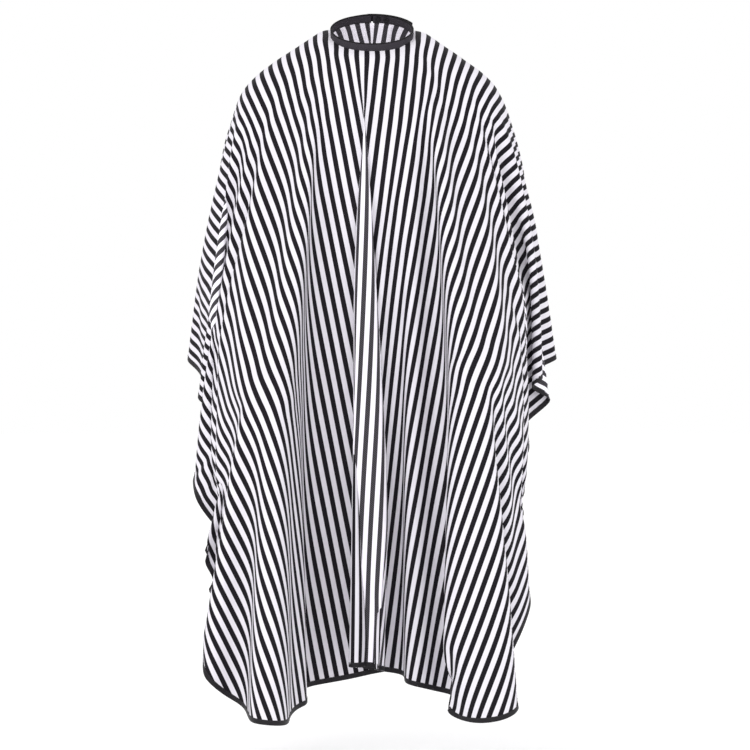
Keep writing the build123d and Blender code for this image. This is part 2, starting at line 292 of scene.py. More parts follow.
@dataclass(frozen=True)
class StripedCloth(Finish):
    """Yarn-dyed polyester twill: crisp stripes, a faint diagonal rib and a soft sheen."""

    white: str = "#EFECF3"
    white_shade: str = "#E3DFE8"
    black: str = "#151217"
    black_shade: str = "#211E24"
    reverse_white: str = "#E4E1E8"
    reverse_black: str = "#49474B"
    pitch: float = 16 * MM
    edge: float = 0.15 * MM
    twill: float = 2.6 * MM  # the real rib is 0.5 mm; drawn coarse enough to show
    twill_turn: float = 52.0
    rib_depth: float = 0.10 * MM
    cloud: float = 45 * MM
    painted_glow: float = 0.4  # painted glow: the reverse emits its own colour, standing in for daylight let through the thin cloth

    def make(self, side: ClothSide) -> bpy.types.Material:
        """Make the material for one side of the cloth.

        Args:
            side: the face, or the reverse, where the black yarn shows paler.

        Returns:
            The material.
        """
        material, tree, shader = self.start()
        material.name = f"{self.name}_{side.value}"
        flat = add_node(tree, "ShaderNodeUVMap", uv_map="flat").outputs[0]
        across = add_node(tree, "ShaderNodeSeparateXYZ", {0: flat}).outputs[0]
        repeat = {0: across, 1: self.pitch / 2}
        fold = add_node(tree, "ShaderNodeMath", repeat, operation="PINGPONG").outputs[0]
        limits = {1: self.pitch / 4 - self.edge, 2: self.pitch / 4 + self.edge}
        dark = add_node(tree, "ShaderNodeMapRange", {0: fold} | limits).outputs[0]
        twill = self.ribs(tree, flat, self.twill, self.twill_turn)
        drift = {"Vector": flat, "Scale": 1 / self.cloud}
        cloud = add_node(tree, "ShaderNodeTexNoise", drift).outputs["Fac"]
        if side is ClothSide.FACE:
            pale = self.mixed(tree, cloud, hex_colour(self.white), hex_colour(self.white_shade))
            deep = self.mixed(tree, twill, hex_colour(self.black), hex_colour(self.black_shade))
        else:
            pale = self.mixed(tree, twill, hex_colour(self.reverse_white), hex_colour(self.white_shade))
            deep = self.mixed(tree, twill, hex_colour(self.reverse_black), hex_colour(self.black_shade))
        colour = self.mixed(tree, dark, pale, deep)
        tree.links.new(colour, shader.inputs["Base Color"])
        # painted glow: the reverse of the cloth shines with its own colour
        if side is ClothSide.REVERSE:
            tree.links.new(colour, shader.inputs["Emission Color"])
            shader.inputs["Emission Strength"].default_value = self.painted_glow
        self.bump(tree, shader, twill, self.rib_depth)
        return material


@dataclass(frozen=True)
class RibbedTape(Finish):
    """Grosgrain binding tape: cross ribs that catch a little light on a deep black."""

    base: str = "#121013"
    crest: str = "#29262B"
    pitch: float = 1.6 * MM  # the real rib is 0.5 mm; drawn coarse enough to show
    rib_depth: float = 0.12 * MM

    def make(self) -> bpy.types.Material:
        """Make the material, its ribs across the UV map's run."""
        material, tree, shader = self.start()
        run = add_node(tree, "ShaderNodeUVMap", uv_map="run").outputs[0]
        ribs = self.ribs(tree, run, self.pitch, 0.0)
        self.tint(tree, shader, ribs, self.base, self.crest)
        self.bump(tree, shader, ribs, self.rib_depth)
        return material


@dataclass(frozen=True)
class BandTwill(Finish):
    """Dense cotton twill, charcoal in the middle, with painted shade that colours its rolled edges
    near-black.
    """

    middle: str = "#322F35"
    crest: str = "#3F3B42"
    # painted shade on the rolled edges
    edge: str = "#100E11"
    pitch: float = 1.1 * MM
    twill_turn: float = 38.0
    rib_depth: float = 0.08 * MM
    half_height: float = BAND_HALF_HEIGHT * MM
    shaded_edge_width: float = 1.6 * MM

    def make(self) -> bpy.types.Material:
        """Make the material; the attribute "height" says how far up the band a point is."""
        material, tree, shader = self.start()
        run = add_node(tree, "ShaderNodeUVMap", uv_map="run").outputs[0]
        twill = self.ribs(tree, run, self.pitch, self.twill_turn)
        cloth = self.mixed(tree, twill, hex_colour(self.middle), hex_colour(self.crest))
        height = add_node(tree, "ShaderNodeAttribute", attribute_name="height").outputs["Fac"]
        far = add_node(tree, "ShaderNodeMath", {0: height}, operation="ABSOLUTE").outputs[0]
        # painted shade: the rolled top and bottom edges are mixed towards near-black
        limits = {1: self.half_height - self.shaded_edge_width, 2: self.half_height - self.shaded_edge_width / 2}
        rim = add_node(tree, "ShaderNodeMapRange", {0: far} | limits).outputs[0]
        tree.links.new(self.mixed(tree, rim, cloth, hex_colour(self.edge)), shader.inputs["Base Color"])
        self.bump(tree, shader, twill, self.rib_depth)
        return material


@dataclass(frozen=True)
class SpunThread(Finish):
    """Spun polyester sewing thread: fine twist, a little glossier than the cloth."""

    base: str = "#1D1A1F"
    crest: str = "#3A363C"
    grain: float = 0.5 * MM

    def make(self) -> bpy.types.Material:
        """Make the material."""
        material, tree, shader = self.start()
        self.tint(tree, shader, self.speckle(tree, self.grain), self.base, self.crest)
        return material


@dataclass(frozen=True)
class PlatedBrass(Finish):
    """Nickel-plated pressed brass: bright, with fine scuffs and a slightly dull grain."""

    bright: str = "#CFCBC4"
    scuffed: str = "#A9A59E"
    grain: float = 1.4 * MM
    grain_depth: float = 0.02 * MM
    scuffs: tuple[float, float] = (0.55, 0.75)  # where the grain starts to look worn, and is
    scuff_roughness: float = 0.15

    def make(self) -> bpy.types.Material:
        """Make the material."""
        material, tree, shader = self.start()
        shader.inputs["Metallic"].default_value = 1.0
        scuff = self.speckle(tree, self.grain, detail=4.0)
        limits = {1: self.scuffs[0], 2: self.scuffs[1]}
        worn = add_node(tree, "ShaderNodeMapRange", {0: scuff} | limits).outputs[0]
        self.tint(tree, shader, worn, self.bright, self.scuffed)
        span = {3: self.roughness, 4: self.roughness + self.scuff_roughness}
        rough = add_node(tree, "ShaderNodeMapRange", {0: scuff} | span)
        tree.links.new(rough.outputs[0], shader.inputs["Roughness"])
        self.bump(tree, shader, scuff, self.grain_depth)
        return material


@dataclass(frozen=True)
class StoveEnamel(Finish):
    """Black stove enamel on the snap caps: a soft gloss with a slight orange peel."""

    deep: str = "#111013"
    crest: str = "#1C1A1E"
    peel: float = 1.2 * MM
    peel_depth: float = 0.02 * MM

    def make(self) -> bpy.types.Material:
        """Make the material."""
        material, tree, shader = self.start()
        peel = self.speckle(tree, self.peel)
        self.tint(tree, shader, peel, self.deep, self.crest)
        self.bump(tree, shader, peel, self.peel_depth)
        return material


@dataclass(frozen=True)
class NonWoven(Finish):
    """Bonded non-woven interlining: matted pale fibres."""

    pale: str = "#D6D3CB"
    deep: str = "#B9B5AB"
    fibre: float = 0.8 * MM
    fibre_depth: float = 0.1 * MM

    def make(self) -> bpy.types.Material:
        """Make the material."""
        material, tree, shader = self.start()
        fibres = self.speckle(tree, self.fibre, detail=6.0)
        self.tint(tree, shader, fibres, self.deep, self.pale)
        self.bump(tree, shader, fibres, self.fibre_depth)
        return material


@dataclass(frozen=True)
class PaintedFloor(Finish):
    """Matt white studio floor with the faintest roller mottle."""

    pale: str = "#FFFFFF"
    deep: str = "#FBFBFB"
    mottle: float = 0.2
    glow: float = 0.12  # keeps the far floor as white as the wall behind it

    def make(self) -> bpy.types.Material:
        """Make the material."""
        material, tree, shader = self.start()
        self.tint(tree, shader, self.speckle(tree, self.mottle), self.deep, self.pale)
        shader.inputs["Emission Color"].default_value = hex_colour(self.pale)
        shader.inputs["Emission Strength"].default_value = self.glow
        return material


@dataclass(frozen=True)
class Finishes:
    """Every finish of the cape, made once."""

    face: bpy.types.Material
    reverse: bpy.types.Material
    tape: bpy.types.Material
    band: bpy.types.Material
    thread: bpy.types.Material
    nickel: bpy.types.Material
    enamel: bpy.types.Material
    interlining: bpy.types.Material

    @staticmethod
    def make() -> "Finishes":
        """Make all the materials."""
        cloth = StripedCloth("striped_polyester_twill", roughness=0.6, sheen=0.02, specular=0.08)
        return Finishes(
            face=cloth.make(ClothSide.FACE),
            reverse=cloth.make(ClothSide.REVERSE),
            tape=RibbedTape("grosgrain_tape", roughness=0.5, sheen=0.02, specular=0.2).make(),
            band=BandTwill("cotton_twill_band", roughness=0.75, sheen=0.03, specular=0.15).make(),
            thread=SpunThread("spun_polyester_thread", roughness=0.45, specular=0.3).make(),
            nickel=PlatedBrass("nickel_plated_brass", roughness=0.2).make(),
            enamel=StoveEnamel("black_stove_enamel", roughness=0.3).make(),
            interlining=NonWoven("bonded_nonwoven", roughness=0.9).make(),
        )


def dress(piece: bpy.types.Object, slot: Slot, body: Body, *materials: bpy.types.Material) -> None:
    """Give a new piece its materials and its body.

    Args:
        piece: the piece.
        slot: the record's material slot; not used.
        body: the body that it moves with.
        materials: one for each of the mesh's material slots.
    """
    for material in materials:
        piece.data.materials.append(material)
    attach(piece, body.value)
    LOG.info("%s: %d faces, rides on %s", piece.name, len(piece.data.polygons), body.value)


# ---- sewing thread ----------------------------------------------------------------------


@dataclass
class Seam:
    """A row of lockstitches, each a short bead of thread that dips at both ends."""

    name: str
    length: float = 2.7 * MM
    pitch: float = 3.5 * MM
    radius: float = 0.26 * MM
    sides: int = 6
    places: list[tuple[Vector, Vector, Vector]] = field(default_factory=list)

    def follow(self, points: list[Vector], normals: list[Vector]) -> None:
        """Lay stitches along a line.

        Args:
            points: the line, on the surface of the cloth.
            normals: the way out of the cloth at each point.
        """
        lengths = [0.0]
        for one, two in zip(points, points[1:]):
            lengths.append(lengths[-1] + (two - one).length)
        count = int(lengths[-1] / self.pitch)
        index = 0
        for number in range(count):
            middle = (number + 0.5) * self.pitch
            while lengths[index + 1] < middle:
                index += 1
            share = (middle - lengths[index]) / (lengths[index + 1] - lengths[index])
            point = points[index].lerp(points[index + 1], share)
            normal = normals[index].lerp(normals[index + 1], share).normalized()
            along = (points[index + 1] - points[index]).normalized()
            self.places.append((point, along, normal))

    def sew(self) -> bpy.types.Object:
        """Make all the stitches as one piece."""
        # each ring's place in lengths, its width in radii and its rise in radii
        rings = ((-0.5, 0.45, -0.6), (-0.25, 0.9, 0.25), (0.25, 0.9, 0.25), (0.5, 0.45, -0.6))
        bead, faces = [], []
        for share, width, rise in rings:
            for side in range(self.sides):
                turn = 2 * math.pi * side / self.sides
                across, up = math.cos(turn) * width, math.sin(turn) * width + rise
                bead.append((share * self.length, across * self.radius, up * self.radius))
        for ring in range(len(rings) - 1):
            for side in range(self.sides):
                near, far = ring * self.sides + side, ring * self.sides + (side + 1) % self.sides
                faces.append((near, far, far + self.sides, near + self.sides))
        faces.append(tuple(reversed(range(self.sides))))
        faces.append(tuple(range(len(bead) - self.sides, len(bead))))
        bead = np.array(bead)
        points = np.zeros((len(self.places), len(bead), 3))
        for index, (centre, along, normal) in enumerate(self.places):
            across = normal.cross(along).normalized()
            frame = np.array((along, across, across.cross(along) * -1.0))
            points[index] = bead @ frame + np.array(centre)
        every = [
            tuple(corner + index * len(bead) for corner in face)
            for index in range(len(self.places)) for face in faces
        ]
        mesh = bpy.data.meshes.new(self.name)
        mesh.from_pydata(points.reshape(-1, 3).tolist(), [], every)
        shell = bmesh.new()
        shell.from_mesh(mesh)
        bmesh.ops.recalc_face_normals(shell, faces=shell.faces)
        shell.to_mesh(mesh)
        shell.free()
        return new_object(self.name, mesh)


# ---- dress form, taken away once the cloth has settled ------------------------------------


@dataclass
class Arm:
    """One arm of the dress form, its joints in metres."""

    shoulder: tuple[float, float, float]
    elbow: tuple[float, float, float]
    wrist: tuple[float, float, float]
    shoulder_radius: float = 0.055
    elbow_radius: float = 0.045
    wrist_radius: float = 0.040


@dataclass
class DressForm:
    """A plain torso with arms that the cloth falls over."""

    arms: tuple[Arm, ...] = (
        Arm((-0.146, 0.012, -0.115), (-0.226, 0.015, -0.41), (-0.165, -0.195, -0.57)),
        Arm((0.142, 0.012, -0.115), (0.214, 0.025, -0.38), (0.165, -0.195, -0.53)),
    )
    neck_radius: float = 0.056
    neck_foot: tuple[float, float, float] = (0.0, 0.0, -0.10)
    neck_top: tuple[float, float, float] = (0.0, -0.01, 0.03)
    collarbone: tuple[float, float, float] = (0.05, 0.015, -0.045)
    collarbone_radius: float = 0.05
    chest: tuple[tuple[float, float, float], ...] = (
        (-0.07, 0.12, 0.08), (-0.12, 0.16, 0.105), (-0.25, 0.175, 0.125),
        (-0.45, 0.145, 0.105), (-0.65, 0.165, 0.115), (-1.20, 0.13, 0.08),
    )
    chest_steps: int = 30
    chest_top: float = -0.10
    chest_drop: float = 1.1
    chest_middle: float = 0.01
    chest_slice: float = 0.06
    skin: float = 0.012
    thickness: float = 0.006
    friction: float = 1.0

    def ball(self, shell: bmesh.types.BMesh, centre: Vector, size: tuple[float, float, float]) -> None:
        """Add one round lump of the form."""
        matrix = Matrix.Translation(centre) @ Matrix.Diagonal((*size, 1))
        bmesh.ops.create_uvsphere(shell, u_segments=24, v_segments=16, radius=1, matrix=matrix)

    def limb(self, shell: bmesh.types.BMesh, start, end, radii: tuple[float, float], count: int) -> None:
        """Add a tapering limb as a row of lumps.

        Args:
            shell: the mesh that it is added to.
            start: where it begins.
            end: where it ends.
            radii: its radius at both ends.
            count: how many lumps.
        """
        for step in range(count + 1):
            share = step / count
            radius = radii[0] + (radii[1] - radii[0]) * share
            self.ball(shell, Vector(start).lerp(Vector(end), share), (radius,) * 3)

    def build(self) -> bpy.types.Object:
        """Make the form and let cloth rest on it."""
        shell = bmesh.new()
        self.limb(shell, self.neck_foot, self.neck_top, (self.neck_radius,) * 2, 6)
        for arm in self.arms:
            side = math.copysign(1, arm.shoulder[0])
            start = (side * self.collarbone[0], *self.collarbone[1:])
            self.limb(shell, start, arm.shoulder, (self.collarbone_radius, arm.shoulder_radius), 8)
            top = (arm.shoulder[0] + side * 0.008, arm.shoulder[1] - 0.002, arm.shoulder[2] - 0.01)
            self.limb(shell, top, arm.elbow, (arm.shoulder_radius, arm.elbow_radius), 14)
            self.limb(shell, arm.elbow, arm.wrist, (arm.elbow_radius, arm.wrist_radius), 12)
        levels, halves, depths = zip(*reversed(self.chest))
        for step in range(self.chest_steps):
            level = self.chest_top - self.chest_drop * step / (self.chest_steps - 1)
            half, depth = (float(np.interp(level, levels, row)) for row in (halves, depths))
            centre = Vector((0, self.chest_middle, level))
            self.ball(shell, centre, (half, depth, self.chest_slice))
        mesh = bpy.data.meshes.new("dress_form")
        shell.to_mesh(mesh)
        shell.free()
        form = new_object("dress_form", mesh)
        apply_modifier(form, "REMESH", mode="VOXEL", voxel_size=self.skin)
        apply_modifier(form, "SMOOTH", factor=0.5, iterations=12)
        form.modifiers.new("collision", "COLLISION")
        form.collision.thickness_outer = self.thickness
        form.collision.cloth_friction = self.friction
        return form


# ---- the cape's cloth --------------------------------------------------------------------


@dataclass
class Edge:
    """A cut edge of the draped cloth, point by point.

    The way into the cloth and the way out of its face are unit vectors.
    """

    points: list[Vector]
    inward: list[Vector]
    outward: list[Vector]
    closed: bool

    def runs(self) -> list[float]:
        """The distance along the edge at each point."""
        total = [0.0]
        for one, two in zip(self.points, self.points[1:]):
            total.append(total[-1] + (two - one).length)
        return total


@dataclass
class CapeCloth:
    """One cut sheet with a round neck hole and a slit behind it, hung and settled."""

    width: float = 1.30
    front: float = 1.04
    back: float = 0.48
    corner: float = 0.22
    grid: float = 14 * MM
    quick_grid: float = 26 * MM
    neck_radius: float = 65.6 * MM
    neck_level: float = -6.4 * MM
    collar_radius: float = 65.2 * MM
    collar_level: float = -3.6 * MM
    hole_half: float = 0.052
    hole_spread: float = 0.20
    slit_gap: float = 3 * MM
    slit_length: float = 0.150
    by_slit: float = 4 * MM  # points nearer the middle than this are on the slit
    thickness: float = 0.35 * MM
    bending: float = 0.5
    frames: int = 90
    quick_frames: int = 40
    flat: np.ndarray = field(default_factory=lambda: np.zeros((0, 2)))
    quads: list[tuple[int, ...]] = field(default_factory=list)
    ring: list[int] = field(default_factory=list)
    settled: np.ndarray = field(default_factory=lambda: np.zeros((0, 3)))

    @property
    def area(self) -> float:
        """Flat area of the cut sheet, square metres."""
        corners = (4 - math.pi) * self.corner ** 2
        return self.width * (self.front + self.back) - math.pi * self.neck_radius ** 2 - corners

    def lines(self) -> tuple[np.ndarray, np.ndarray]:
        """Grid lines across and along the sheet, with one of each through the neck's middle."""
        grid = self.grid
        across = 2 * round(self.width / grid / 2)
        ahead, behind = round(self.front / grid), round(self.back / grid)
        columns = np.linspace(-self.width / 2, self.width / 2, across + 1)
        front_rows = np.linspace(-self.front, 0, ahead + 1)
        back_rows = np.linspace(0, self.back, behind + 1)[1:]
        return columns, np.concatenate((front_rows, back_rows))

    def round_hole(self, x: float, y: float, half_x: float, half_y: float) -> tuple[float, float]:
        """Move a grid point so that the square of missing cells becomes the neck's circle."""
        grow = max(abs(x) / half_x, abs(y) / half_y)
        most = self.hole_spread / half_x
        if grow >= most:
            return x, y
        turn = math.atan2(y / half_y, x / half_x)
        share = (most - grow) / (most - 1)
        share = share * share * (3 - 2 * share)
        reach = self.neck_radius + (grow - 1) * half_x
        return (
            share * reach * math.cos(turn) + (1 - share) * x,
            share * reach * math.sin(turn) + (1 - share) * y,
        )

    def round_corner(self, x: float, y: float) -> tuple[float, float]:
        """Move a grid point near a corner of the sheet onto rounded rings."""
        side = math.copysign(1, x)
        end, way = (self.back, 1) if y > 0 else (-self.front, -1)
        middle_x, middle_y = side * (self.width / 2 - self.corner), end - way * self.corner
        dx, dy = x - middle_x, y - middle_y
        if dx * side <= 0 or dy * way <= 0:
            return x, y
        scale = max(abs(dx), abs(dy)) / math.hypot(dx, dy)
        return middle_x + dx * scale, middle_y + dy * scale

    def cut(self) -> None:
        """Lay out the flat sheet: its points, its faces and its neck edge.

        Every face is wound the same way, with the striped face of the cloth up, so that side is
        the outside wherever the sheet falls.
        """
        columns, rows = self.lines()
        middle = len(columns) // 2
        half_x = min(x for x in columns if x >= self.hole_half)
        half_front = min(-y for y in rows if -y >= self.hole_half)
        half_back = min(y for y in rows if y >= self.hole_half)
        slit_end = self.neck_radius + self.slit_length
        points: list[tuple[float, float]] = []
        number: dict[tuple[int, int, int], int] = {}
        for i, x in enumerate(columns):
            for j, y in enumerate(rows):
                if abs(x) < half_x - MM and -half_front + MM < y < half_back - MM:
                    continue
                place = self.round_hole(x, y, half_x, half_back if y > 0 else half_front)
                place = self.round_corner(*place)
                split = i == middle and y > 0 and place[1] < slit_end
                for side in (-1, 1):
                    if side == -1 or split:
                        number[i, j, side] = len(points)
                        points.append((place[0] + side * self.slit_gap / 2 * split, place[1]))
                    else:
                        number[i, j, side] = number[i, j, -1]
        self.quads = []
        for i in range(len(columns) - 1):
            for j in range(len(rows) - 1):
                keys = ((i, j, 1), (i + 1, j, -1), (i + 1, j + 1, -1), (i, j + 1, 1))
                if all(key in number for key in keys):
                    self.quads.append(tuple(number[key] for key in keys))
        self.flat = np.array(points)
        reach = np.hypot(self.flat[:, 0], self.flat[:, 1])
        on_ring = np.where(reach < self.neck_radius + 2 * MM)[0]
        turns = np.arctan2(self.flat[on_ring, 0], self.flat[on_ring, 1]) % (2 * math.pi)
        self.ring = [int(on_ring[place]) for place in np.argsort(turns)]

    def hung(self) -> np.ndarray:
        """The sheet laid in the neckband's plane, before it falls."""
        lean = np.array((math.cos(NECK_TILT), math.sin(NECK_TILT)))
        start = np.zeros((len(self.flat), 3))
        start[:, 0] = self.flat[:, 0]
        start[:, 1:] = self.flat[:, 1:] * lean
        start[:, 1] -= self.neck_level * math.sin(NECK_TILT)
        start[:, 2] += self.neck_level * math.cos(NECK_TILT)
        return start

    def settle(self, form: DressForm) -> None:
        """Let the hung sheet fall over the dress form and keep where it comes to rest."""
        self.cut()
        dummy = form.build()
        mesh = bpy.data.meshes.new("falling_cloth")
        mesh.from_pydata(self.hung().tolist(), [], self.quads)
        cloth = new_object("falling_cloth", mesh)
        cloth.vertex_groups.new(name="neck_edge").add(self.ring, 1.0, "REPLACE")
        fall = cloth.modifiers.new("cloth", "CLOTH")
        facts = dict(
            vertex_group_mass="neck_edge", quality=6, mass=0.3, air_damping=1.5,
            tension_stiffness=15, compression_stiffness=15, shear_stiffness=5,
            bending_model="ANGULAR", bending_stiffness=self.bending,
            tension_damping=5, compression_damping=5, shear_damping=5, bending_damping=0.5,
        )
        for name, value in facts.items():
            setattr(fall.settings, name, value)
        fall.collision_settings.use_collision = True
        fall.collision_settings.distance_min = 6 * MM
        frames = self.frames
        scene = bpy.context.scene
        scene.frame_start, scene.frame_end = 1, frames
        fall.point_cache.frame_start, fall.point_cache.frame_end = 1, frames
        for frame in range(1, frames + 1):
            scene.frame_set(frame)
        bpy.ops.object.select_all(action="DESELECT")
        cloth.select_set(True)
        bpy.context.view_layer.objects.active = cloth
        bpy.ops.object.modifier_apply(modifier=fall.name)
        places = np.zeros(len(self.flat) * 3)
        cloth.data.vertices.foreach_get("co", places)
        self.settled = places.reshape(-1, 3)
        for leftover in (cloth, dummy):
            bpy.data.objects.remove(leftover)
        scene.frame_set(1)

    def build(self, name: str) -> bpy.types.Object:
        """Make the settled sheet, finer, with its neck edge turned up into the band.

        Args:
            name: the piece's name.

        Returns:
            The sheet, still without thickness.
        """
        points = [tuple(point) for point in self.settled]
        flat = [tuple(point) for point in self.flat]
        collar = []
        for index in self.ring:
            x, y = self.flat[index]
            turn = math.degrees(math.atan2(x, y))
            collar.append(len(points))
            points.append(tuple(neck_point(self.collar_radius, turn, self.collar_level)))
            inner = (self.neck_radius - (self.collar_level - self.neck_level)) / math.hypot(x, y)
            flat.append((x * inner, y * inner))
        quads = list(self.quads)
        for low, high, next_low, next_high in zip(self.ring, collar, self.ring[1:], collar[1:]):
            quads.append((low, high, next_high, next_low))
        mesh = bpy.data.meshes.new(name)
        mesh.from_pydata(points, [], quads)
        layer = mesh.uv_layers.new(name="flat")
        for loop in mesh.loops:
            layer.data[loop.index].uv = flat[loop.vertex_index]
        sheet = new_object(name, mesh)
        apply_modifier(sheet, "SUBSURF", levels=1, render_levels=1, boundary_smooth="ALL")
        sheet.data.polygons.foreach_set("use_smooth", [True] * len(sheet.data.polygons))
        return sheet

    def edges(self, sheet: bpy.types.Object) -> tuple[Edge, list[Edge]]:
        """Find the outer edge and the two sides of the slit.

        Args:
            sheet: the finer sheet.

        Returns:
            The outer edge, and the two sides of the slit, the one towards -X first.
        """
        shell = bmesh.new()
        shell.from_mesh(sheet.data)
        shell.normal_update()
        layer = shell.loops.layers.uv["flat"]
        flat = {vert.index: vert.link_loops[0][layer].uv.copy() for vert in shell.verts}
        reach = {index: max(abs(uv.x), abs(uv.y)) for index, uv in flat.items()}
        seen: set[int] = set()
        loops: list[list[bmesh.types.BMVert]] = []
        for edge in shell.edges:
            if not edge.is_boundary or edge.verts[0].index in seen:
                continue
            chain = [edge.verts[0]]
            while chain[-1].index not in seen:
                seen.add(chain[-1].index)
                ways = [e.other_vert(chain[-1]) for e in chain[-1].link_edges if e.is_boundary]
                fresh = [vert for vert in ways if vert.index not in seen]
                if fresh:
                    chain.append(fresh[0])
            loops.append(chain)
        outer = max(loops, key=lambda chain: reach[chain[0].index])
        inner = min(loops, key=lambda chain: reach[chain[0].index])
        rows: list[list[bmesh.types.BMVert]] = []
        ring_reach = self.neck_radius - MM
        for side in (-1, 1):
            column = [
                vert for vert in inner
                if flat[vert.index].y > ring_reach and flat[vert.index].x * side >= -0.1 * MM
                and abs(flat[vert.index].x) < self.by_slit
            ]
            rows.append(sorted(column, key=lambda vert: flat[vert.index].y))
        rim = self.edge_of(outer, closed=True)
        sides = [self.edge_of(row, closed=False) for row in rows]
        shell.free()
        return rim, sides

    @staticmethod
    def edge_of(chain: list[bmesh.types.BMVert], closed: bool) -> Edge:
        """Read an edge's points and directions from its vertices."""
        points = [vert.co.copy() for vert in chain]
        outward = [vert.normal.copy() for vert in chain]
        inward = []
        for index, vert in enumerate(chain):
            last = len(chain) - 1
            before = points[index - 1] if closed or index else points[0]
            after = points[(index + 1) % len(chain)] if closed or index < last else points[last]
            along = (after - before).normalized()
            centre = sum((face.calc_center_median() for face in vert.link_faces), Vector())
            lean = centre / len(vert.link_faces) - vert.co
            lean -= along * lean.dot(along)
            lean -= outward[index] * lean.dot(outward[index])
            inward.append(lean.normalized())
        return Edge(points, inward, outward, closed)


@dataclass
class SlitUnderlap:
    """A strip of the cape's cloth sewn behind the slit, so that no gap shows."""

    left: float = -13 * MM
    right: float = 36 * MM
    below: float = 14 * MM
    depth: float = 1.9 * MM
    off_middle: float = 0.4 * MM
    top_radius: float = 64.9 * MM
    top_level: float = -6.2 * MM

    def build(self, cloth: CapeCloth, sheet: bpy.types.Object) -> bpy.types.Object:
        """Make the strip from the settled cloth round the slit.

        Args:
            cloth: the cape's cloth, for its slit.
            sheet: the finer sheet, still without thickness.

        Returns:
            The strip, with its thickness, hung behind the slit.
        """
        shell = bmesh.new()
        shell.from_mesh(sheet.data)
        layer = shell.loops.layers.uv["flat"]
        foot = cloth.neck_radius + cloth.slit_length + self.below
        ring = cloth.neck_radius - MM
        flat = {vert: vert.link_loops[0][layer].uv.copy() for vert in shell.verts}
        outside = [
            vert for vert, uv in flat.items()
            if not (self.left < uv.x < self.right and uv.y < foot and uv.y > 0 and uv.length > ring)
        ]
        bmesh.ops.delete(shell, geom=outside, context="VERTS")
        columns = []
        for side in (-1, 1):
            near = [
                vert for vert in shell.verts
                if vert.is_boundary and flat[vert].y < foot - self.below
                and self.off_middle < flat[vert].x * side < cloth.by_slit
            ]
            columns.append(sorted(near, key=lambda vert: flat[vert].y))
        for one, two in zip(*columns):
            one.co = two.co = (one.co + two.co) / 2
            for loop in (*one.link_loops, *two.link_loops):
                loop[layer].uv.x = 0.0
        bmesh.ops.remove_doubles(shell, verts=shell.verts, dist=0.01 * MM)
        shell.normal_update()
        for vert in shell.verts:
            uv = vert.link_loops[0][layer].uv
            if uv.length < cloth.neck_radius + MM:
                turn = math.degrees(math.atan2(uv.x, uv.y))
                vert.co = neck_point(self.top_radius, turn, self.top_level)
            else:
                vert.co -= vert.normal * self.depth
        mesh = bpy.data.meshes.new("slit_underlap")
        shell.to_mesh(mesh)
        shell.free()
        strip = new_object("slit_underlap", mesh)
        apply_modifier(strip, "SUBSURF", levels=1, render_levels=1)
        return strip


@dataclass
class FoldedTape:
    """Binding tape folded over a cut edge, with a row of stitches on each side."""

    name: str
    width: float = 8 * MM
    sew_line: float = 6.6 * MM
    sew_rise: float = 0.58 * MM
    profile: tuple[tuple[float, float], ...] = (
        (8.0, 0.30), (7.8, 0.62), (7.1, 0.66), (6.6, 0.50), (5.6, 0.72), (3.2, 0.80),
        (1.0, 0.80), (0.1, 0.55), (-0.25, 0.0),
    )

    def section(self, edge: Edge, index: int, surface: BVHTree) -> list[Vector]:
        """The tape's closed section at one point of the edge, following the cloth's curve."""
        one_side = [self.on_cloth(edge, index, across * MM, surface) for across, _ in self.profile]
        rises = [rise * MM for _, rise in self.profile]
        points = [place + normal * rise for (place, normal), rise in zip(one_side, rises)]
        other = [place - normal * rise for (place, normal), rise in zip(one_side, rises)]
        return points + other[-2::-1]

    @staticmethod
    def on_cloth(edge: Edge, index: int, across: float, surface: BVHTree) -> tuple[Vector, Vector]:
        """The cloth's place and normal at a distance in from the edge."""
        place = edge.points[index] + edge.inward[index] * across
        if across <= 0:
            return place, edge.outward[index]
        near, normal, _, gap = surface.find_nearest(place)
        if near is None or gap > 2 * MM or normal.dot(edge.outward[index]) < 0.3:
            return place, edge.outward[index]
        return near, (normal + edge.outward[index]).normalized()

    def build(self, edge: Edge, surface: BVHTree, seam: Seam) -> bpy.types.Object:
        """Make the tape and mark its stitches.

        Args:
            edge: the cut edge that it covers.
            surface: the cloth, for its curve.
            seam: takes the stitches of both sides.

        Returns:
            The tape.
        """
        count = len(edge.points)
        sections = [self.section(edge, index, surface) for index in range(count)]
        tape = swept(self.name, sections, edge.runs(), edge.closed)
        lines = [self.on_cloth(edge, index, self.sew_line, surface) for index in range(count)]
        if edge.closed:
            lines.append(lines[0])
        for side in (1, -1):
            line = [place + normal * self.sew_rise * side for place, normal in lines]
            seam.follow(line, [normal * side for _, normal in lines])
        apply_modifier(tape, "SUBSURF", levels=1, render_levels=1)
        return tape


# ---- neckband and closure tab --------------------------------------------------------------


